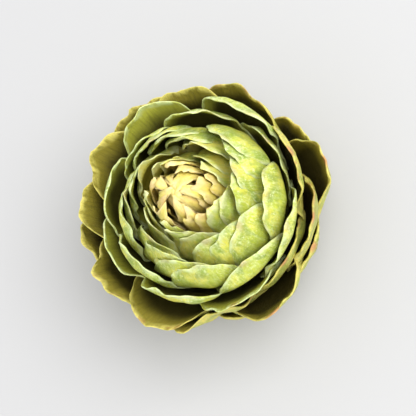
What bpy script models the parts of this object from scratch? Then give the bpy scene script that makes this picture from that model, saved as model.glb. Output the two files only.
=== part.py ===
"""A globe artichoke head, standing on its cut stem.

The bracts grow in a spiral, each turned by the golden angle from the one before, from the small ones
round the stem to the pale ones folded over the crown. Each lies on its own shell round the heart of the
head, so an outer bract never crosses an inner one. Lengths are in millimetres until they are placed.
"""

import math

import bmesh
import bpy
import numpy as np
from mathutils import Vector

MM = 0.001
GOLDEN_ANGLE = 137.508

# The spiral: places in it count from 0 at the stem, and turns are in degrees
BRACTS = 60
SINGLE_BRACTS = 44
ROOM_ROUND_ROSETTE = 4
FIRST_TURN = 220.3

# Outlines in the plane of the axis, as (radius, height)
CENTRE_HEIGHT = 40.0
HEAD_OUTLINE = [
    (13.5, 9.0), (28.0, 12.5), (39.0, 20.5), (46.0, 31.0), (48.5, 42.0), (48.0, 52.0),
    (45.0, 61.0), (40.0, 68.5), (33.0, 75.5), (24.0, 82.5), (12.0, 89.5), (1.0, 93.0),
]
CORE_OUTLINE = [
    (12.5, 8.0), (14.5, 15.0), (15.0, 22.0), (13.5, 30.0), (12.0, 40.0), (11.0, 52.0),
    (8.5, 64.0), (5.0, 74.0), (0.8, 80.0),
]

# Latitudes of the ends of a bract in degrees, seen from the centre, by shell
BASE_LATITUDES = [(0, -66.0), (20, -55.0), (64, -34.0)]
TIP_LATITUDES = [
    (0, -10.0), (7, 9.0), (8, 12.0), (20, 19.0), (21, 25.0), (24, 31.5), (29, 41.0), (32, 48.0), (37, 56.5),
    (44, 64.0), (49, 66.0), (57, 77.0), (64, 92.0),
]

# The outermost shell there is at a latitude
OUTERMOST_SHELLS = [(-10, 0), (9, 6), (25, 20), (41, 29), (56.5, 38), (66, 46.5), (77, 57), (90, 64)]

# The blade of a bract: half its width where it is widest, the share of that at the base, how high up it is
# widest, and the powers that round its sides and its tip
HALF_WIDTHS = [(0, 15.0), (8, 21.0), (20, 23.3), (30, 21.0), (37, 18.2), (44, 16.5), (50, 14.0), (60, 10.0)]
BASE_WIDTH_SHARE = 0.27
WIDEST_AT = 0.56
SIDE_POWERS = [(0, 1.6), (19, 1.8), (25, 2.6), (60, 2.4)]
TIP_POWERS = [(0, 1.1), (19, 1.3), (25, 2.0), (60, 1.8)]
CORNER_AT = 0.88
THICKNESS = 0.9
RIM_THICKNESS = 0.62

# How this head departs from the rule: place in the spiral, then the turn and the latitude of the tip in
# degrees, and how far the tip opens outwards
DEPARTURES = {
    0: (0, 0, 1), 1: (-16, 8, 2), 2: (-5, 16, 3), 3: (4, 0, 0), 6: (-8, 3, 8), 7: (0, -6, 0), 8: (2, 0, 8),
    9: (-6, 1, 5.5), 10: (-4, 3, 7), 11: (-3, 0, 2), 12: (-5, 3, 5), 14: (1, -4, 0), 15: (-8, 3, 9.5),
    16: (2, 0, 0), 17: (1, 2, 8), 18: (8, 0, 12.5), 19: (10, 13, 0), 20: (1, 4, 9), 21: (0, 0, 3),
    22: (-4, 12, 0), 25: (1, -6, 7), 26: (-2, 0, 1), 27: (5, -7, 0), 30: (2, -1, 1), 32: (-3, 0, 0),
    33: (-5, -8, 1), 35: (-1, 0, 0),
}
NO_DEPARTURE = (0, 0, 0)
OPENING_STARTS_AT = 0.45
OPENING_POWER = 1.6

# Waves of the rim: their depth, the half waves on each side of the middle, and the shift from bract to bract
WAVE_DEPTH = 0.7
WAVES = 1.6
WAVE_SHIFT = 0.74

# The stem and the heart it carries
STEM_OUTLINE = [(12.4, 0.0), (12.8, 0.8), (12.3, 4.0), (11.8, 8.2)]
STEM_RIDGES = 9
RIDGE_HEIGHT = 0.45
RIDGES_END_AT = 9.0
RIDGES_FADE_OVER = 5.0
HEART_BOTTOM_LATITUDE = -67.0
HEART_TOP_LATITUDE = -44.0
HEART_CLEARANCE = 1.1

# The rosette: the dome under its bracts, where they leave it, and how deep their roots reach into it
DOME_BOTTOM_LATITUDE = -40.0
DOME_TOP_LATITUDE = 84.0
ROSETTE_BASE_LATITUDE = -36.0
ROOT_DEPTH = 9.0
DOME_CLEARANCE = 1.4

# Triangles: steps along and across a bract, how much closer they stand near its base, and the steps round
# the heart and the dome and up them
ROWS, COLUMNS = 7, 8
ROW_POWER = 1.15
ROSETTE_ROWS, ROSETTE_COLUMNS = 7, 6
SIDES = 27
HEART_STEPS = 6
DOME_STEPS = 9

# Linear base colours by place in the spiral, and of the stem
COLOURS = [
    (0, (0.36, 0.30, 0.07)), (14, (0.36, 0.33, 0.08)), (22, (0.30, 0.36, 0.10)), (38, (0.36, 0.42, 0.13)),
    (48, (0.62, 0.58, 0.22)), (60, (0.72, 0.62, 0.28)),
]
STEM_COLOUR = (0.34, 0.36, 0.15)
BRACT_ROUGHNESS = 0.6
STEM_ROUGHNESS = 0.75


def smooth(x, knots):
    """A smooth curve through the knots that never overshoots them."""
    xs, ys = np.array(knots, float).T
    x = np.clip(x, xs[0], xs[-1])
    steps = np.diff(xs)
    slopes = np.diff(ys) / steps
    before, after = slopes[:-1], slopes[1:]
    same = before * after > 0
    tangents = np.zeros(len(xs))
    tangents[1:-1] = np.where(same, 2 * before * after / np.where(same, before + after, 1), 0)
    tangents[0], tangents[-1] = slopes[0], slopes[-1]
    i = np.clip(np.searchsorted(xs, x, side="right") - 1, 0, len(steps) - 1)
    h = steps[i]
    t = (x - xs[i]) / h
    start = (2 * t**3 - 3 * t**2 + 1) * ys[i] + (t**3 - 2 * t**2 + t) * h * tangents[i]
    end = (3 * t**2 - 2 * t**3) * ys[i + 1] + (t**3 - t**2) * h * tangents[i + 1]
    return start + end


def polar(outline):
    """An outline's points as (latitude in degrees, distance from the centre)."""
    points = [(r, z - CENTRE_HEIGHT) for r, z in outline]
    return [(math.degrees(math.atan2(up, out)), math.hypot(out, up)) for out, up in points]


HEAD = polar(HEAD_OUTLINE)
CORE = polar(CORE_OUTLINE)
INNERMOST_SHELLS = [(latitude, number) for number, latitude in BASE_LATITUDES]


def shell_number(index):
    """The shells are numbered as the bracts are, but some stay free round the inner rosette."""
    return index + (ROOM_ROUND_ROSETTE if index >= SINGLE_BRACTS else 0)


def shell(number, latitude):
    """How far from the centre a shell is at a latitude in degrees."""
    outer, inner = smooth(latitude, HEAD), smooth(latitude, CORE)
    first, last = smooth(latitude, OUTERMOST_SHELLS), smooth(latitude, INNERMOST_SHELLS)
    share = (number - first) / np.maximum(last - first, 10.0)
    return outer + (inner - outer) * share


def ease(x):
    x = np.clip(x, 0, 1)
    return x * x * (3 - 2 * x)


def ends(index):
    """The turn of a bract and the latitudes of its base and its tip, in radians."""
    turn_change, tip_change, _ = DEPARTURES.get(index, NO_DEPARTURE)
    turn = FIRST_TURN + GOLDEN_ANGLE * index + turn_change
    base = smooth(shell_number(index), BASE_LATITUDES)
    if index >= SINGLE_BRACTS:
        base = max(base, ROSETTE_BASE_LATITUDE)
    tip = smooth(shell_number(index), TIP_LATITUDES) + tip_change
    return math.radians(turn), math.radians(base), math.radians(tip)


def half_width(index, height):
    """Half the width of a bract at a share of its height, in millimetres."""
    side, tip = smooth(index, SIDE_POWERS), smooth(index, TIP_POWERS)
    above = np.clip((height - WIDEST_AT) / (1 - WIDEST_AT), 0, 1)
    upper = np.maximum((1 - above**tip) ** (1 / side), CORNER_AT)
    below = np.sin(np.clip(height / WIDEST_AT, 0, 1) * math.pi / 2) ** 3
    lower = BASE_WIDTH_SHARE + (1 - BASE_WIDTH_SHARE) * below
    return smooth(index, HALF_WIDTHS) * np.where(height > WIDEST_AT, upper, lower)


def own_opening(index, way):
    """How far a bract opens outwards of itself in the directions given, in millimetres."""
    turn, base, tip = ends(index)
    c, s = math.cos(turn), math.sin(turn)
    lateral = np.arcsin(np.clip(way[..., 1] * c - way[..., 0] * s, -1, 1))
    latitude = np.arctan2(way[..., 2], way[..., 0] * c + way[..., 1] * s)
    height = (latitude - base) / (tip - base)
    across = lateral * shell(shell_number(index), np.degrees(latitude)) / half_width(index, height)
    free = np.where(height < 1.5, np.clip((height - OPENING_STARTS_AT) / (1 - OPENING_STARTS_AT), 0, 1.1), 0)
    return DEPARTURES[index][2] * free**OPENING_POWER * np.clip(1 - np.abs(across) ** 3, 0, 1)


def opening(index, way):
    """How far a bract stands outside its shell: what opens inside it pushes it outwards too."""
    opened = [k for k in range(index, BRACTS) if DEPARTURES.get(k, NO_DEPARTURE)[2] > 0]
    pushes = [own_opening(k, way) ** 6 for k in opened]
    return sum(pushes, np.zeros(way.shape[:-1])) ** (1 / 6)


def bract_faces(index, rows=ROWS, columns=COLUMNS):
    """The outer and the inner face of a bract, each as (rows + 1, columns + 1, 3)."""
    turn, base, tip = ends(index)
    number = shell_number(index)
    along, across = np.meshgrid(np.linspace(0, 1, rows + 1), np.linspace(-1, 1, columns + 1), indexing="ij")
    along = along**ROW_POWER
    side_power, tip_power = smooth(index, SIDE_POWERS), smooth(index, TIP_POWERS)
    rounded = (1 - np.abs(CORNER_AT * across) ** side_power) ** (1 / tip_power)
    height = along * (WIDEST_AT + (1 - WIDEST_AT) * rounded)
    latitude = base + (tip - base) * height
    lateral = across * half_width(index, height) / shell(number, np.degrees(latitude))
    out, side, up = np.cos(lateral) * np.cos(latitude), np.sin(lateral), np.cos(lateral) * np.sin(latitude)
    c, s = math.cos(turn), math.sin(turn)
    way = np.stack([out * c - side * s, out * s + side * c, up], axis=-1)
    free = np.clip((height - OPENING_STARTS_AT) / (1 - OPENING_STARTS_AT), 0, 1)
    wave = WAVE_DEPTH * np.sin(math.pi * (across * WAVES + index * WAVE_SHIFT)) * free**2 * (1 - across**2)
    radius = shell(number, np.degrees(np.arcsin(np.clip(up, -1, 1)))) + opening(index, way) + wave
    to_rim = np.minimum(np.minimum(along, 1 - along), (1 - np.abs(across)) * 1.5)
    half = (RIM_THICKNESS + (THICKNESS - RIM_THICKNESS) * ease(to_rim / 0.5)) / 2
    centre = np.array([0, 0, CENTRE_HEIGHT])
    return centre + way * (radius + half)[..., None], centre + way * (radius - half)[..., None]


def triangles(mesh, lower, upper):
    """Fills the band between two rows of corners."""
    for a, b, c, d in zip(lower, lower[1:], upper[1:], upper):
        mesh.faces.new((a, b, c))
        mesh.faces.new((a, c, d))


def add_grid(mesh, points):
    grid = [[mesh.verts.new(Vector(p) * MM) for p in row] for row in points]
    for lower, upper in zip(grid, grid[1:]):
        triangles(mesh, lower, upper)
    return grid


def border(grid):
    """The corners of a grid in order round its border, ending where they begin."""
    right = [row[-1] for row in grid[:-1]]
    left = [row[0] for row in grid[::-1]]
    return grid[0][:-1] + right + grid[-1][:0:-1] + left


def add_object(mesh, name, collection, colour, roughness):
    bmesh.ops.recalc_face_normals(mesh, faces=mesh.faces)
    if mesh.calc_volume(signed=True) < 0:
        bmesh.ops.reverse_faces(mesh, faces=mesh.faces)
    data = bpy.data.meshes.new(name)
    mesh.to_mesh(data)
    mesh.free()
    data.shade_smooth()
    obj = bpy.data.objects.new(name, data)
    collection.objects.link(obj)
    material = bpy.data.materials.new(name)
    material.use_nodes = True
    surface = material.node_tree.nodes["Principled BSDF"]
    surface.inputs["Base Color"].default_value = (*colour, 1)
    surface.inputs["Roughness"].default_value = roughness
    surface.inputs["Metallic"].default_value = 0
    data.materials.append(material)
    return obj


def colour_of(index):
    return [float(smooth(index, [(k, colour[i]) for k, colour in COLOURS])) for i in range(3)]


def sink_root(face, depth):
    """Moves the lowest row of a face towards the head's centre."""
    centre = np.array([0, 0, CENTRE_HEIGHT])
    inwards = centre - face[0]
    face[0] += inwards * depth / np.linalg.norm(inwards, axis=-1)[:, None]


def add_bract(index, name, collection, rows=ROWS, columns=COLUMNS, root_depth=0.0):
    outer, inner = bract_faces(index, rows, columns)
    for face in (outer, inner):
        sink_root(face, root_depth)
    mesh = bmesh.new()
    front, back = add_grid(mesh, outer), add_grid(mesh, inner)
    triangles(mesh, border(front), border(back))
    return add_object(mesh, name, collection, colour_of(index), BRACT_ROUGHNESS)


def add_turned(profile, name, collection, colour, roughness, ridge=lambda z: 0.0):
    """A closed solid turned from (radius, height) pairs that end at the axis."""
    mesh = bmesh.new()
    angles = np.arange(SIDES) * 2 * math.pi / SIDES
    rings = []
    for r, z in profile[1:-1]:
        radii = r + ridge(z) * np.cos(angles * STEM_RIDGES)
        places = zip(radii * np.cos(angles), radii * np.sin(angles))
        ring = [mesh.verts.new(Vector((x, y, z)) * MM) for x, y in places]
        rings.append(ring + ring[:1])
    for lower, upper in zip(rings, rings[1:]):
        triangles(mesh, lower, upper)
    for ring, (_, z) in ((rings[0], profile[0]), (rings[-1], profile[-1])):
        middle = mesh.verts.new(Vector((0, 0, z)) * MM)
        for a, b in zip(ring, ring[1:]):
            mesh.faces.new((middle, a, b))
    return add_object(mesh, name, collection, colour, roughness)


def core_points(lowest, highest, steps, outwards):
    """Points of the core's outline between two latitudes, moved outwards."""
    points = []
    for latitude in np.linspace(lowest, highest, steps):
        distance = float(smooth(latitude, CORE)) + outwards
        angle = math.radians(latitude)
        points.append((distance * math.cos(angle), CENTRE_HEIGHT + distance * math.sin(angle)))
    return points


def ridge_height(z):
    """The stem's ridges run out where it widens into the heart."""
    return RIDGE_HEIGHT * float(ease((RIDGES_END_AT - z) / RIDGES_FADE_OVER))


def add_stem_and_heart(collection):
    heart = core_points(HEART_BOTTOM_LATITUDE, HEART_TOP_LATITUDE, HEART_STEPS, -HEART_CLEARANCE)
    profile = [(0, 0), *STEM_OUTLINE, *heart, (0, heart[-1][1])]
    add_turned(profile, "stem_and_heart", collection, STEM_COLOUR, STEM_ROUGHNESS, ridge_height)


def add_rosette(collection):
    """The pale bracts folded over the crown, joined to the dome they grow from."""
    dome = core_points(DOME_BOTTOM_LATITUDE, DOME_TOP_LATITUDE, DOME_STEPS, -DOME_CLEARANCE)
    profile = [(0, dome[0][1]), *dome, (0, dome[-1][1] + 0.1)]
    body = add_turned(profile, "inner_rosette", collection, colour_of(54), BRACT_ROUGHNESS)
    roots = bpy.data.collections.new("rosette_bracts")
    collection.children.link(roots)
    for index in range(SINGLE_BRACTS, BRACTS):
        add_bract(index, f"rosette_bract_{index}", roots, ROSETTE_ROWS, ROSETTE_COLUMNS, ROOT_DEPTH)
    join = body.modifiers.new("join", "BOOLEAN")
    join.operation = "UNION"
    join.operand_type = "COLLECTION"
    join.collection = roots
    # The exact solver leaves loose slivers where so many thin roots meet
    join.solver = "MANIFOLD"
    bpy.context.view_layer.objects.active = body
    bpy.ops.object.modifier_apply(modifier="join")
    for obj in list(roots.objects):
        bpy.data.objects.remove(obj)
    bpy.data.collections.remove(roots)


def main():
    for obj in list(bpy.data.objects):
        bpy.data.objects.remove(obj)
    collection = bpy.context.scene.collection
    add_stem_and_heart(collection)
    for index in range(SINGLE_BRACTS):
        add_bract(index, f"bract_{index + 1:02d}", collection)
    add_rosette(collection)


main()
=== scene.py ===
"""The look of the artichoke: waxy bracts with curled, wavy rims, the folded crown and the dry cut stem.

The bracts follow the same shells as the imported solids, so each lies over its own solid. Lengths are in
millimetres until they are placed, and colours are linear.
"""

import math

import bpy
import numpy as np
from mathutils import Matrix, Vector, noise


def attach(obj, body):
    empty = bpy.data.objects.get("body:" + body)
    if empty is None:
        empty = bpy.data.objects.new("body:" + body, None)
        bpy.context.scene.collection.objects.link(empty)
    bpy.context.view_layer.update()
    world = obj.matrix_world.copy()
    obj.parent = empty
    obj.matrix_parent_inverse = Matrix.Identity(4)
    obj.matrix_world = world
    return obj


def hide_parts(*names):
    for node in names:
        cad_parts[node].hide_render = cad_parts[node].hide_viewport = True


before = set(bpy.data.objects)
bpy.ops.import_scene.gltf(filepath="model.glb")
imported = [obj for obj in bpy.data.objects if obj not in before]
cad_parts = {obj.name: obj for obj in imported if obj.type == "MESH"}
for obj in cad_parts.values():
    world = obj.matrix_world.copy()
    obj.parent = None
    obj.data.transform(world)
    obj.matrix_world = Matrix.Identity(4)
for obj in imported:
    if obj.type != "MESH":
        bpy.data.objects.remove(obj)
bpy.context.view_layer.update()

MM = 0.001

# The camera: the tilt of the head's axis towards it, the turn of the picture, and how wide the picture is at
# the distance of the target
VIEW_TILT = 20.0
VIEW_ROLL = 63.0
VIEW_DISTANCE = 900.0
VIEW_WIDTH = 174.72
VIEW_TARGET_HEIGHT = 47.0
SENSOR_WIDTH = 36.0

# The light: where it stands in the picture (to the right, up, towards the camera), its distance and size in
# metres, its power in watts, the point it faces, and the strength of the even light all round
KEY_DIRECTION = (0.22, 0.27, 1.0)
KEY_DISTANCE = 1.5
KEY_SIZE = 1.2
KEY_POWER = 24.0
KEY_TARGET = (0.0, 0.0, 0.04)
WORLD_STRENGTH = 1.17

# The floor: half its length in metres, its colour and the colour of its faint grain
FLOOR_REACH = 3.0
FLOOR_COLOUR = (0.450, 0.450, 0.455)
FLOOR_GRAIN_COLOUR = (0.43, 0.43, 0.43)
FLOOR_GRAIN_SHARE = 0.03

# Below, a list of pairs holds the knots of a smooth curve. The first number of a pair is a place in the
# spiral unless the comment says otherwise. Places count from the stem to the crown.

# The spiral, as in the part's own source: its turns in degrees, how many bracts it has, how many of them are
# pieces of their own before those of the rosette, and how many shells stay free between the two kinds
GOLDEN_ANGLE = 137.508
FIRST_TURN = 220.3
BRACTS = 60
SINGLE_BRACTS = 44
ROOM_ROUND_ROSETTE = 4

# The shells that the bracts lie on, as in the part's own source: outlines of the head and its core as radius
# and height, latitudes of the bracts' bases and tips by shell, the outermost shell by latitude, and the
# fewest shells that share the room between the head and the core
CENTRE_HEIGHT = 40.0
HEAD_OUTLINE = [
    (13.5, 9.0), (28.0, 12.5), (39.0, 20.5), (46.0, 31.0), (48.5, 42.0), (48.0, 52.0),
    (45.0, 61.0), (40.0, 68.5), (33.0, 75.5), (24.0, 82.5), (12.0, 89.5), (1.0, 93.0),
]
CORE_OUTLINE = [
    (12.5, 8.0), (14.5, 15.0), (15.0, 22.0), (13.5, 30.0), (12.0, 40.0), (11.0, 52.0),
    (8.5, 64.0), (5.0, 74.0), (0.8, 80.0),
]
BASE_LATITUDES = [(0, -66.0), (20, -55.0), (64, -34.0)]
TIP_LATITUDES = [
    (0, -10.0), (7, 9.0), (8, 12.0), (20, 19.0), (21, 25.0), (24, 31.5), (29, 41.0), (32, 48.0), (37, 56.5),
    (44, 64.0), (49, 66.0), (57, 77.0), (64, 92.0),
]
OUTERMOST_SHELLS = [(-10, 0), (9, 6), (25, 20), (41, 29), (56.5, 38), (66, 46.5), (77, 57), (90, 64)]
FEWEST_SHELLS = 10.0

# The crown: the latitude above which its bracts start, their tips where the innermost fold across the axis,
# and how much of their spacing they keep where they lie over one another
ROSETTE_BASE_LATITUDE = -36.0
CROWN_TIPS = [(44, 66.0), (47, 70.0), (50, 75.0), (53, 80.0), (56, 85.5), (58, 90.0), (60, 94.0)]
OVERLAP_AT_CROWN = 0.3

# Small bracts that stand between the others round the crown: the first and the end of their places
BETWEEN_BRACTS = (35.5, 57.0)

# How this head departs from the rule: place in the spiral, then the turn and the latitude of the tip in
# degrees, and how far the tip opens outwards in millimetres
DEPARTURES = {
    0: (0, 0, 1), 1: (-16, 8, 2), 2: (-5, 16, 3), 3: (4, 0, 0), 6: (-8, 3, 8), 7: (0, -6, 0), 8: (2, 0, 8),
    9: (-6, 1, 5.5), 10: (-4, 3, 7), 11: (-3, 0, 2), 12: (-5, 3, 5), 14: (1, -4, 0), 15: (-8, 3, 9.5),
    16: (2, 0, 0), 17: (1, 2, 8), 18: (8, 0, 12.5), 19: (10, 13, 0), 20: (1, 4, 9), 21: (0, 0, 3),
    22: (-4, 12, 0), 25: (1, -6, 7), 26: (-2, 0, 1), 27: (5, -7, 0), 30: (2, -1, 1), 32: (-3, 0, 0),
    33: (-5, -8, 1), 35: (-1, 0, 0),
}
NO_DEPARTURE = (0, 0, 0)

# An opening starts at a share of the bract's height, grows to a limit and ends past the tip. The push power
# joins the pushes of several bracts to about the largest of them.
OPENING_STARTS_AT = 0.45
OPENING_POWER = 1.6
OPENING_LIMIT = 1.1
OPENING_ENDS_AT = 1.5
PUSH_POWER = 6

# The outline of a bract: half its width, the share of that at its base, the share of its height where it is
# widest, how square its sides and its tip are, and the share of its height by which its upper rim waves
HALF_WIDTHS = [(0, 15.0), (8, 21.0), (20, 23.3), (30, 21.0), (37, 18.2), (44, 16.5), (50, 12.5), (60, 6.5)]
BASE_WIDTH_SHARE = 0.27
WIDEST_AT = 0.56
SIDE_POWERS = [(0, 3.0), (19, 3.0), (25, 3.2), (44, 3.0), (60, 2.4)]
TIP_POWERS = [(0, 1.6), (19, 1.8), (25, 2.2), (44, 2.0), (60, 1.7)]
CORNER_AT = 0.88
OUTLINE_WAVES = [(0, 0.05), (20, 0.03), (44, 0.03), (50, 0.06), (60, 0.09)]
OUTLINE_WAVE_COUNT = 3.2
OUTLINE_WAVE_SEED = 3.7

# The blade of a bract: its thickness within and at its rim, how far from the rim it thins and is rounded, and
# the least share of the rounding, which the rim itself has
THICKNESS = [(0, 1.7), (20, 1.6), (36, 1.3), (44, 1.4), (50, 1.5), (55, 1.8), (60, 2.0)]
RIM_THICKNESS = [(0, 1.0), (36, 0.8), (44, 0.9), (50, 1.2), (60, 1.5)]
THINS_WITHIN = 7.0
RIM_ROUNDING = [(0, 0.5), (44, 0.5), (50, 0.7), (60, 0.9)]
LEAST_ROUNDING = 0.03

# Its relief: slow swells and fine crinkles above a share of its height, deeper waves near its rim, and a
# keel down its middle that fades towards the tip
RELIEF_STARTS_AT = 0.35
RELIEF_GROWS_OVER = 0.4
SWELL_DEPTH = 0.55
SWELL_LENGTH = 17.0
CRINKLE_DEPTH = 0.32
CRINKLE_LENGTH = 5.0
RIM_WAVE_DEPTHS = [(0, 2.0), (44, 1.92), (50, 2.56), (60, 2.56)]
RIM_WAVE_LENGTHS = [(0, 7.5), (44, 6.5), (50, 4.5), (60, 3.6)]
RIM_WAVE_REACH = 5.0
RELIEF_SEED_STEP = 7.31
KEEL_HEIGHT = 0.5
KEEL_WIDTH = 2.6
KEEL_FADES_WITHIN = 14.0

# Its tip: how far it curls, inwards below zero, and the small point at its middle
CURL = [(0, -1.8), (18, -2.0), (24, -1.0), (31, -1.2), (37, -2.6), (42, -3.4), (50, -3.0), (60, -1.8)]
CURL_WITHIN = 9.0
TIP_POINT = 0.5
TIP_POINT_WIDTH = 1.6
TIP_POINT_POWER = 8

# Rows and columns of the grid on each face, and how closely the rows crowd towards the tip
GRID = (46, 36)
SMALL_GRID = (34, 24)
ROW_CROWDING = 1.7

# The dome under the crown: its top as radius and height, the latitudes between which it follows the core, how
# far it stays inside the core, and its rings and sides
DOME_TOP = [(6.4, 81.0), (5.6, 85.0), (4.2, 87.6), (2.6, 88.9), (1.0, 89.4)]
DOME_TOP_RISE = 0.1
DOME_LATITUDES = (-40.0, 76.0)
DOME_INSET = 1.4
DOME_RINGS = 24
DOME_SIDES = 72

# The stem: its radius by height, its ridges, the rings of its cut face, and the lower heart it runs into
STEM_RADII = [(0.0, 12.4), (0.8, 12.8), (4.0, 12.3), (8.2, 11.8)]
STEM_RINGS = 14
STEM_SIDES = 108
STEM_RIDGES = 9
RIDGE_HEIGHT = 0.45
RIDGES_END_AT = 9.0
RIDGES_FADE_OVER = 5.0
RIDGED_BEYOND = 11.0
CUT_RINGS = (3.0, 6.0, 9.0, 11.3)
HEART_LATITUDES = (-67.0, -44.0)
HEART_INSET = 1.1
HEART_RINGS = 12
HEART_TOP = 24.0

# The skins of the bracts: the place in the spiral where each starts, its slot, the colours of its young and
# old patches, of its streaks, rim and bloom, of its inner face near the rim, the painted shade of its inner
# face deep down, and how strongly its rim and tip are browned
SKINS = {
    "outer bract skin": (0, "outer_bract", dict(
        young=(0.48, 0.50, 0.06), old=(0.76, 0.63, 0.10), shade=(0.22, 0.27, 0.035),
        rim=(0.68, 0.60, 0.155), bloom=(0.62, 0.68, 0.26), inner=(0.28, 0.235, 0.032),
        painted_shade_deep=(0.035, 0.028, 0.005), browned=0.7)),
    "middle bract skin": (21, "middle_bract", dict(
        young=(0.53, 0.60, 0.065), old=(0.75, 0.72, 0.095), shade=(0.21, 0.33, 0.045),
        rim=(0.68, 0.78, 0.40), bloom=(0.84, 0.92, 0.50), inner=(0.42, 0.42, 0.055),
        painted_shade_deep=(0.055, 0.05, 0.008), browned=0.30)),
    "pale bract skin": (43, "inner_bract", dict(
        young=(0.70, 0.73, 0.11), old=(0.86, 0.78, 0.14), shade=(0.40, 0.54, 0.08),
        rim=(0.82, 0.86, 0.46), bloom=(0.80, 0.84, 0.40), inner=(0.86, 0.78, 0.18),
        painted_shade_deep=(0.46, 0.39, 0.05), browned=0.0)),
    "inner bract skin": (50, "inner_bract", dict(
        young=(0.80, 0.64, 0.15), old=(0.76, 0.65, 0.13), shade=(0.58, 0.52, 0.09),
        rim=(0.90, 0.74, 0.35), bloom=(0.86, 0.71, 0.26), inner=(0.80, 0.63, 0.15),
        painted_shade_deep=(0.56, 0.43, 0.08), browned=0.25)),
}
SPECK_COLOUR = (0.20, 0.09, 0.03)
DRY_COLOUR = (0.40, 0.24, 0.07)
TIP_COLOUR = (0.52, 0.20, 0.10)

# Each bract has a value of its own between 0 and 1, which shifts its noise by up to the spread. The noise of
# the lines along a bract is squeezed by the stretch, which draws them out.
OWN_VALUE_STEP = 0.618
OWN_SPREAD = 91.0
LINE_STRETCH = 0.14


def smooth(x, knots):
    """A smooth curve through the knots that never overshoots them."""
    xs, ys = np.array(knots, float).T
    x = np.clip(x, xs[0], xs[-1])
    steps = np.diff(xs)
    slopes = np.diff(ys) / steps
    before, after = slopes[:-1], slopes[1:]
    same = before * after > 0
    tangents = np.zeros(len(xs))
    tangents[1:-1] = np.where(same, 2 * before * after / np.where(same, before + after, 1), 0)
    tangents[0], tangents[-1] = slopes[0], slopes[-1]
    i = np.clip(np.searchsorted(xs, x, side="right") - 1, 0, len(steps) - 1)
    h = steps[i]
    t = (x - xs[i]) / h
    start = (2 * t**3 - 3 * t**2 + 1) * ys[i] + (t**3 - 2 * t**2 + t) * h * tangents[i]
    end = (3 * t**2 - 2 * t**3) * ys[i + 1] + (t**3 - t**2) * h * tangents[i + 1]
    return start + end


def ease(x):
    """0 below 0 and 1 above 1, with an eased rise between them."""
    x = np.clip(x, 0, 1)
    return x * x * (3 - 2 * x)


def polar(outline):
    """An outline's points as (latitude in degrees, distance from the centre)."""
    rises = [(r, z - CENTRE_HEIGHT) for r, z in outline]
    return [(math.degrees(math.atan2(rise, r)), math.hypot(r, rise)) for r, rise in rises]


HEAD = polar(HEAD_OUTLINE)
CORE = polar(CORE_OUTLINE)
INNERMOST_SHELLS = [(latitude, number) for number, latitude in BASE_LATITUDES]


def shell_number(index):
    """The shells are numbered as the bracts are, but some stay free round the inner rosette."""
    return index + (ROOM_ROUND_ROSETTE if index >= SINGLE_BRACTS else 0)


def shell(number, latitude):
    """How far from the centre a shell is at a latitude in degrees."""
    outer, inner = smooth(latitude, HEAD), smooth(latitude, CORE)
    first, last = smooth(latitude, OUTERMOST_SHELLS), smooth(latitude, INNERMOST_SHELLS)
    share = (number - first) / np.maximum(last - first, FEWEST_SHELLS)
    share = np.where((share < 0) & (number > SINGLE_BRACTS), share * OVERLAP_AT_CROWN, share)
    return outer + (inner - outer) * share


def ends(index):
    """The turn of a bract and the latitudes of its base and its tip, in radians."""
    turn_change, tip_change, _ = DEPARTURES.get(index, NO_DEPARTURE)
    turn = FIRST_TURN + GOLDEN_ANGLE * index + turn_change
    base = smooth(shell_number(index), BASE_LATITUDES)
    tip = smooth(shell_number(index), TIP_LATITUDES) + tip_change
    if index >= SINGLE_BRACTS:
        base, tip = max(base, ROSETTE_BASE_LATITUDE), smooth(index, CROWN_TIPS)
    return math.radians(turn), math.radians(base), math.radians(tip)


def half_width(index, height):
    """Half the width of a bract at a share of its height, in millimetres."""
    side, tip = smooth(index, SIDE_POWERS), smooth(index, TIP_POWERS)
    above = np.clip((height - WIDEST_AT) / (1 - WIDEST_AT), 0, 1)
    upper = np.maximum((1 - above**tip) ** (1 / side), CORNER_AT)
    below = np.sin(np.clip(height / WIDEST_AT, 0, 1) * math.pi / 2) ** 3
    lower = BASE_WIDTH_SHARE + (1 - BASE_WIDTH_SHARE) * below
    return smooth(index, HALF_WIDTHS) * np.where(height > WIDEST_AT, upper, lower)


def own_opening(index, way):
    """How far a bract opens outwards of itself in the directions given, in millimetres."""
    turn, base, tip = ends(index)
    c, s = math.cos(turn), math.sin(turn)
    lateral = np.arcsin(np.clip(way[..., 1] * c - way[..., 0] * s, -1, 1))
    latitude = np.arctan2(way[..., 2], way[..., 0] * c + way[..., 1] * s)
    height = (latitude - base) / (tip - base)
    across = lateral * shell(shell_number(index), np.degrees(latitude)) / half_width(index, height)
    free = np.clip((height - OPENING_STARTS_AT) / (1 - OPENING_STARTS_AT), 0, OPENING_LIMIT)
    free = np.where(height < OPENING_ENDS_AT, free, 0)
    return DEPARTURES[index][2] * free**OPENING_POWER * np.clip(1 - np.abs(across) ** 3, 0, 1)


def opening(index, way):
    """How far a bract stands outside its shell: what opens inside it pushes it outwards too."""
    opened = [k for k in range(math.ceil(index), BRACTS) if DEPARTURES.get(k, NO_DEPARTURE)[2] > 0]
    pushes = [own_opening(k, way) ** PUSH_POWER for k in opened]
    return sum(pushes, np.zeros(way.shape[:-1])) ** (1 / PUSH_POWER)


def relief(points, size, seed):
    """Smooth noise between about -1 and 1 at points in millimetres."""
    flat = points.reshape(-1, 3) / size + seed * RELIEF_SEED_STEP
    return np.array([noise.noise(Vector(p)) for p in flat]).reshape(points.shape[:-1])


def outline_waves(index, across):
    """The factor by which the upper rim stands higher or lower, at shares of the half width."""
    seed = index * OUTLINE_WAVE_SEED
    waves = np.array([noise.noise(Vector((x * OUTLINE_WAVE_COUNT, seed, 0.5))) for x in across])
    return 1 + float(smooth(index, OUTLINE_WAVES)) * waves


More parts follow.
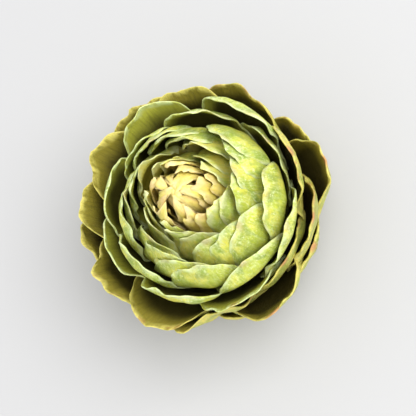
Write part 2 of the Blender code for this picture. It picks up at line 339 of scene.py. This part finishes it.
def relieved(index, radius, way, free, to_rim, to_tip, aside):
    """The distances from the centre with the bract's swells, crinkles, waves, curl and keel added."""
    place = way * radius[..., None]
    radius = radius + SWELL_DEPTH * relief(place, SWELL_LENGTH, index) * free
    radius = radius + CRINKLE_DEPTH * relief(place, CRINKLE_LENGTH, index + 0.5) * free
    near_rim = np.exp(-to_rim / RIM_WAVE_REACH) * free
    depth, length = float(smooth(index, RIM_WAVE_DEPTHS)), float(smooth(index, RIM_WAVE_LENGTHS))
    radius = radius + depth * relief(place, length, index + 0.25) * near_rim
    radius = radius + float(smooth(index, CURL)) * np.clip(1 - to_tip / CURL_WITHIN, 0, 1) ** 2
    return radius + KEEL_HEIGHT * np.exp(-((aside / KEEL_WIDTH) ** 2)) * ease(to_tip / KEEL_FADES_WITHIN)


def half_thickness(index, to_rim):
    """Half the thickness of a bract, at distances from its rim."""
    thick, thin = float(smooth(index, THICKNESS)), float(smooth(index, RIM_THICKNESS))
    half = (thin + (thick - thin) * ease(to_rim / THINS_WITHIN)) / 2
    rounded = np.clip(to_rim / float(smooth(index, RIM_ROUNDING)), LEAST_ROUNDING, 1)
    return half * np.sqrt(1 - (1 - rounded) ** 2)


def blade(index, rows, columns):
    """A bract's two faces, each (rows + 1, columns + 1, 3), and what its material reads at each point."""
    turn, base, tip = ends(index)
    number = shell_number(index)
    along = 1 - np.linspace(1, 0, rows + 1) ** ROW_CROWDING
    across = np.sin(np.linspace(-1, 1, columns + 1) * math.pi / 2)
    along, across = np.meshgrid(along, across, indexing="ij")
    side_power, tip_power = smooth(index, SIDE_POWERS), smooth(index, TIP_POWERS)
    rounded = (1 - np.abs(CORNER_AT * across) ** side_power) ** (1 / tip_power)
    reach = WIDEST_AT + (1 - WIDEST_AT) * rounded
    height = along * reach * outline_waves(index, across[0])
    length = (tip - base) * float(shell(number, math.degrees((tip + base) / 2)))
    wide = half_width(index, height)
    aside = across * wide
    point = TIP_POINT / length * np.exp(-((aside / TIP_POINT_WIDTH) ** 2))
    height = height + point * along**TIP_POINT_POWER
    latitude = base + (tip - base) * height
    lateral = aside / shell(number, np.degrees(latitude))
    out, side, up = np.cos(lateral) * np.cos(latitude), np.sin(lateral), np.cos(lateral) * np.sin(latitude)
    c, s = math.cos(turn), math.sin(turn)
    way = np.stack([out * c - side * s, out * s + side * c, up], axis=-1)

    to_tip = (1 - along) * length * reach
    to_rim = np.minimum(to_tip, (1 - np.abs(across)) * wide)
    free = ease((height - RELIEF_STARTS_AT) / RELIEF_GROWS_OVER)
    radius = shell(number, np.degrees(np.arcsin(np.clip(up, -1, 1)))) + opening(index, way)
    radius = relieved(index, radius, way, free, to_rim, to_tip, aside)
    half = half_thickness(index, to_rim)
    centre = np.array([0, 0, CENTRE_HEIGHT])
    faces = [centre + way * (radius + offset)[..., None] for offset in (half, -half)]
    to_point = np.hypot(to_tip, aside)
    return faces, {"rim": to_rim, "tip_distance": to_point, "across": aside, "along": along * length}


def grid_faces(rows, columns, first, flipped):
    """The quads of a grid whose points start at the number first."""
    quads = []
    for i in range(rows):
        for j in range(columns):
            a = first + i * (columns + 1) + j
            quad = (a, a + 1, a + columns + 2, a + columns + 1)
            quads.append(quad[::-1] if flipped else quad)
    return quads


def rim_faces(rows, columns):
    """The band between the borders of the two faces."""
    wide = columns + 1
    border = [*range(columns)] + [i * wide + columns for i in range(rows)]
    border += [rows * wide + j for j in range(columns, 0, -1)] + [i * wide for i in range(rows, 0, -1)]
    other = (rows + 1) * wide
    following = border[1:] + border[:1]
    return [(b, a, a + other, b + other) for a, b in zip(border, following)]


def add_object(name, vertices, faces, material):
    """A mesh object in the scene, from vertices in metres."""
    mesh = bpy.data.meshes.new(name)
    mesh.from_pydata(vertices, [], faces)
    mesh.materials.append(material)
    item = bpy.data.objects.new(name, mesh)
    bpy.context.scene.collection.objects.link(item)
    return item


def add_piece(name, vertices, faces, material, floats):
    """A smooth piece of the artichoke, from vertices in millimetres and the values its material reads."""
    piece = add_object(name, [Vector(p) * MM for p in vertices], faces, material)
    piece.data.shade_smooth()
    for key, values in floats.items():
        piece.data.attributes.new(key, "FLOAT", "POINT").data.foreach_set("value", np.ravel(values))
    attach(piece, "root")
    return piece


def add_blade(index, material):
    """One bract, over its own solid if it is a piece of its own."""
    single = index < SINGLE_BRACTS and index == int(index)
    rows, columns = GRID if single else SMALL_GRID
    (outer, inner), surface = blade(index, rows, columns)
    vertices = np.concatenate([outer.reshape(-1, 3), inner.reshape(-1, 3)])
    count = (rows + 1) * (columns + 1)
    faces = grid_faces(rows, columns, 0, False) + grid_faces(rows, columns, count, True)
    faces += rim_faces(rows, columns)
    floats = {key: np.concatenate([values.ravel()] * 2) for key, values in surface.items()}
    floats["inside"] = np.repeat([0.0, 1.0], count)
    floats["own"] = np.full(2 * count, (index * OWN_VALUE_STEP) % 1)
    name = f"bract_{index + 1:02.0f}_blade" if single else f"crown_blade_{index * 10 + 10:03.0f}"
    piece = add_piece(name, vertices, faces, material, floats)
    if single:
        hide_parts(f"bract_{index + 1:02.0f}")


class Shader:
    """Builds a material's nodes: each call adds one or two and returns the last one's output."""

    def __init__(self, name):
        self.material = bpy.data.materials.new(name)
        self.material.use_nodes = True
        self.tree = self.material.node_tree

    def add(self, kind, sources=(), output=0, **settings):
        node = self.tree.nodes.new(kind)
        for key, value in settings.items():
            setattr(node, key, value)
        for socket, source in dict(sources).items():
            self.plug(node.inputs[socket], source)
        return node.outputs[output]

    def plug(self, socket, source):
        if isinstance(source, bpy.types.NodeSocket):
            self.tree.links.new(source, socket)
        else:
            socket.default_value = source

    def surface(self, sources):
        """Feeds the surface's sockets and returns the finished material."""
        for socket, source in sources.items():
            self.plug(self.tree.nodes["Principled BSDF"].inputs[socket], source)
        return self.material

    def value(self, name):
        """A value that is stored on the points of the mesh."""
        return self.add("ShaderNodeAttribute", attribute_name=name, output=2)

    def math(self, operation, a, b):
        return self.add("ShaderNodeMath", {0: a, 1: b}, operation=operation)

    def times(self, a, b):
        return self.math("MULTIPLY", a, b)

    def vector(self, x, y, z):
        return self.add("ShaderNodeCombineXYZ", {0: x, 1: y, 2: z})

    def between(self, value, low, high):
        """0 at low, 1 at high and eased between them. Low may be the larger of the two."""
        sources = {0: value, 1: low, 2: high}
        return self.add("ShaderNodeMapRange", sources, interpolation_type="SMOOTHSTEP")

    def spread(self, value, start, end):
        """Spreads 0 to 1 from start to end."""
        return self.add("ShaderNodeMapRange", {0: value, 3: start, 4: end})

    def noise(self, where, scale, detail=2.0, roughness=0.5):
        sources = {"Vector": where, "Scale": scale, "Detail": detail, "Roughness": roughness}
        return self.add("ShaderNodeTexNoise", sources)

    def scaled(self, where, scale):
        return self.add("ShaderNodeMapping", {"Vector": where, "Scale": scale})

    def spots(self, where, scale, detail, roughness, low, high):
        """Noise made into spots: 0 where it is under low, 1 where it is over high."""
        return self.between(self.noise(where, scale, detail, roughness), low, high)

    def blend(self, share, a, b):
        """Colour a where the share is 0 and colour b where it is 1."""
        sources = {0: share, 6: self.colour(a), 7: self.colour(b)}
        return self.add("ShaderNodeMix", sources, output=2, data_type="RGBA")

    def lay(self, colour, over, share, strength):
        """Lays a second colour over the first, as much as the share times the strength says."""
        return self.blend(self.times(share, strength), colour, over)

    def bump(self, height, strength, distance):
        return self.add("ShaderNodeBump", {"Strength": strength, "Distance": distance, "Height": height})

    def colour(self, value):
        return value if isinstance(value, bpy.types.NodeSocket) else (*value, 1)


def bract_material(name, young, old, shade, rim, bloom, inner, painted_shade_deep, browned):
    """A waxy skin. Distances are in millimetres and the scales of its noise are per millimetre."""
    s = Shader(name)
    to_rim, own, across, along = s.value("rim"), s.value("own"), s.value("across"), s.value("along")
    seed = s.times(own, OWN_SPREAD)
    flat = s.vector(across, along, seed)
    lined = s.vector(across, s.times(along, LINE_STRETCH), seed)

    # The outer face: patches of two colours, a shaded band inside the rim, streaks, veins, bloom and ribs
    patches = s.spots(flat, scale=0.10, detail=3.0, roughness=0.55, low=0.42, high=0.60)
    colour = s.blend(patches, young, old)
    band = s.spots(flat, scale=0.16, detail=4.0, roughness=0.6, low=0.42, high=0.62)
    colour = s.lay(colour, shade, s.times(s.between(to_rim, 12.0, 2.5), band), 0.75)
    streaks = s.spots(lined, scale=0.55, detail=4.0, roughness=0.65, low=0.52, high=0.68)
    colour = s.lay(colour, shade, streaks, 0.45)
    veins = s.spots(lined, scale=1.3, detail=3.0, roughness=0.6, low=0.45, high=0.66)
    colour = s.lay(colour, bloom, veins, 0.20)
    frost = s.times(s.spots(flat, scale=0.9, detail=8.0, roughness=0.9, low=0.52, high=0.58), 0.9)
    frost = s.times(frost, s.math("ADD", 0.22, s.times(s.between(to_rim, 12.0, 0.0), 0.78)))
    colour = s.blend(frost, colour, bloom)
    ribs = s.spots(lined, scale=2.4, detail=4.0, roughness=0.7, low=0.52, high=0.68)
    colour = s.lay(colour, shade, ribs, 0.35)

    # The inner face, darkened away from the rim by painted shade that stands in for the shade deep in the
    # bract's hollow
    inner_face_with_painted_shade = s.blend(s.between(to_rim, 1.5, 8.5), inner, painted_shade_deep)
    inner_face_with_painted_shade = s.lay(inner_face_with_painted_shade, painted_shade_deep, veins, 0.25)
    skin = s.blend(s.value("inside"), colour, inner_face_with_painted_shade)

    # Both faces: the pale rim, specks, dry stretches of rim, and a browned tip on some bracts
    worn = s.spots(flat, scale=0.4, detail=3.0, roughness=0.5, low=0.30, high=0.60)
    skin = s.lay(skin, rim, s.times(s.between(to_rim, 2.3, 0.2), worn), 0.9)
    specks = s.spots(flat, scale=1.6, detail=2.0, roughness=0.5, low=0.72, high=0.78)
    skin = s.lay(skin, SPECK_COLOUR, specks, 0.7)
    dry = s.spots(flat, scale=0.15, detail=4.0, roughness=0.65, low=0.54, high=0.64)
    skin = s.lay(skin, DRY_COLOUR, s.times(s.between(to_rim, 2.2, 0.0), dry), browned)
    tipped = s.times(s.between(s.value("tip_distance"), 3.5, 0.8), s.between(own, 0.60, 0.65))
    skin = s.lay(skin, TIP_COLOUR, tipped, browned)

    lines = s.noise(lined, scale=2.6, detail=3.0, roughness=0.6)
    grain = s.noise(flat, scale=0.8, detail=7.0, roughness=0.75)
    fine = s.math("ADD", s.times(lines, 0.45), s.times(grain, 0.55))
    return s.surface({
        "Base Color": skin, "Roughness": s.spread(frost, 0.42, 0.68), "Specular IOR Level": 0.4,
        "Subsurface Weight": 0.12, "Subsurface Radius": (0.9, 1.0, 0.3), "Subsurface Scale": 0.001,
        "Normal": s.bump(fine, strength=1.0, distance=0.0009),
    })


def stem_material():
    """Green fibres along the stem and a dry, brown cut face. The scales of its noise are per metre."""
    s = Shader("stem skin")
    where = s.add("ShaderNodeNewGeometry")
    lines = s.noise(s.scaled(where, (900.0, 900.0, 120.0)), scale=1.0, detail=4.0, roughness=0.6)
    fibres = s.blend(s.between(lines, 0.35, 0.65), (0.30, 0.34, 0.12), (0.52, 0.50, 0.24))
    grain = s.noise(s.scaled(where, (500.0, 500.0, 500.0)), scale=1.0, detail=5.0, roughness=0.65)
    dry = s.blend(s.between(grain, 0.35, 0.7), (0.42, 0.33, 0.16), (0.20, 0.12, 0.05))
    return s.surface({
        "Base Color": s.blend(s.between(s.value("cut"), 0.4, 0.6), fibres, dry), "Roughness": 0.75,
        "Normal": s.bump(lines, strength=0.6, distance=0.0005),
    })


def add_turned(name, profile, sides, ridge_height, material):
    """A closed piece turned about the axis: profile holds (radius, height, cut) from axis to axis."""
    angles = np.arange(sides) * 2 * math.pi / sides
    vertices, cuts = [(0, 0, profile[0][1])], [profile[0][2]]
    for r, z, cut in profile[1:-1]:
        ridge = ridge_height * float(ease((RIDGES_END_AT - z) / RIDGES_FADE_OVER))
        radii = r + (ridge if r > RIDGED_BEYOND else 0.0) * np.cos(angles * STEM_RIDGES)
        vertices += [(q * math.cos(t), q * math.sin(t), z) for q, t in zip(radii, angles)]
        cuts += [cut] * sides
    vertices.append((0, 0, profile[-1][1]))
    cuts.append(profile[-1][2])
    faces = [(0, 1 + (j + 1) % sides, 1 + j) for j in range(sides)]
    for i in range(len(profile) - 3):
        low, high = 1 + i * sides, 1 + (i + 1) * sides
        faces += [(low + j, low + (j + 1) % sides, high + (j + 1) % sides, high + j) for j in range(sides)]
    last = 1 + (len(profile) - 3) * sides
    faces += [(last + j, last + (j + 1) % sides, len(vertices) - 1) for j in range(sides)]
    return add_piece(name, vertices, faces, material, {"cut": np.array(cuts)})


def core_points(latitudes, rings, inset):
    """Points of a profile that follows the core a little inside it."""
    points = []
    for latitude in np.linspace(*latitudes, rings):
        distance = float(smooth(latitude, CORE)) - inset
        angle = math.radians(latitude)
        points.append((distance * math.cos(angle), CENTRE_HEIGHT + distance * math.sin(angle), 0.0))
    return points


def add_stem(material):
    """The ridged stem with its cut face, and the lower heart that it runs into."""
    heights = np.linspace(STEM_RADII[0][0], STEM_RADII[-1][0], STEM_RINGS)
    side = [(float(smooth(z, STEM_RADII)), z, 0.0) for z in heights]
    face = [(r, 0.0, 1.0) for r in CUT_RINGS]
    heart = core_points(HEART_LATITUDES, HEART_RINGS, HEART_INSET)
    profile = [(0, 0.0, 1.0), *face, *side, *heart, (0, HEART_TOP, 0.0)]
    piece = add_turned("cut_stem", profile, STEM_SIDES, RIDGE_HEIGHT, material)
    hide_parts("stem_and_heart")


def add_dome(material):
    """The pale dome that the crown's bracts stand round."""
    top = [(r, z, 0.0) for r, z in DOME_TOP]
    dome = core_points(DOME_LATITUDES, DOME_RINGS, DOME_INSET) + top
    profile = [(0, dome[0][1], 0.0), *dome, (0, dome[-1][1] + DOME_TOP_RISE, 0.0)]
    piece = add_turned("crown_dome", profile, DOME_SIDES, 0.0, material)
    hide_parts("inner_rosette")


def add_floor():
    s = Shader("pale paper")
    grain = s.times(s.noise(s.add("ShaderNodeNewGeometry"), scale=900.0), FLOOR_GRAIN_SHARE)
    colour = s.blend(grain, FLOOR_COLOUR, FLOOR_GRAIN_COLOUR)
    material = s.surface({"Base Color": colour, "Roughness": 0.9, "Specular IOR Level": 0.1})
    corners = [(x * FLOOR_REACH, y * FLOOR_REACH, 0) for x, y in ((-1, -1), (1, -1), (1, 1), (-1, 1))]
    floor = add_object("floor", corners, [(0, 1, 2, 3)], material)


def add_camera():
    tilt = math.radians(VIEW_TILT)
    back = Vector((0, -math.sin(tilt), math.cos(tilt)))
    target = Vector((0, 0, VIEW_TARGET_HEIGHT * MM))
    facing = (-back).to_track_quat("-Z", "Y").to_matrix()
    roll = Matrix.Rotation(-math.radians(VIEW_ROLL), 3, "Z")
    data = bpy.data.cameras.new("camera")
    data.sensor_width = SENSOR_WIDTH
    data.lens = SENSOR_WIDTH * VIEW_DISTANCE / VIEW_WIDTH
    camera = bpy.data.objects.new("camera", data)
    camera.matrix_world = Matrix.Translation(target + back * VIEW_DISTANCE * MM) @ (facing @ roll).to_4x4()
    bpy.context.scene.collection.objects.link(camera)
    bpy.context.scene.camera = camera
    return camera


def add_lights(camera):
    """An even light all round, and one large soft light placed from the picture's own directions."""
    world = bpy.data.worlds.new("studio")
    world.use_nodes = True
    background = world.node_tree.nodes["Background"]
    background.inputs["Color"].default_value = (1, 1, 1, 1)
    background.inputs["Strength"].default_value = WORLD_STRENGTH
    bpy.context.scene.world = world

    data = bpy.data.lights.new("key", "AREA")
    data.energy = KEY_POWER
    data.size = KEY_SIZE
    place = (camera.matrix_world.to_3x3() @ Vector(KEY_DIRECTION)).normalized() * KEY_DISTANCE
    light = bpy.data.objects.new("key", data)
    light.location = place
    light.rotation_euler = (Vector(KEY_TARGET) - place).to_track_quat("-Z", "Y").to_euler()
    bpy.context.scene.collection.objects.link(light)


def main():
    skins = []
    for name, (start, slot, colours) in SKINS.items():
        skins.append((start, bract_material(name, **colours), slot))
    for index in [*range(BRACTS), *np.arange(*BETWEEN_BRACTS)]:
        _, material, slot = [skin for skin in skins if skin[0] <= index][-1]
        add_blade(index, material)
    _, innermost, _ = skins[-1]
    add_dome(innermost)
    add_stem(stem_material())
    add_floor()
    camera = add_camera()
    add_lights(camera)
    bpy.context.scene.view_settings.view_transform = "Standard"


main()
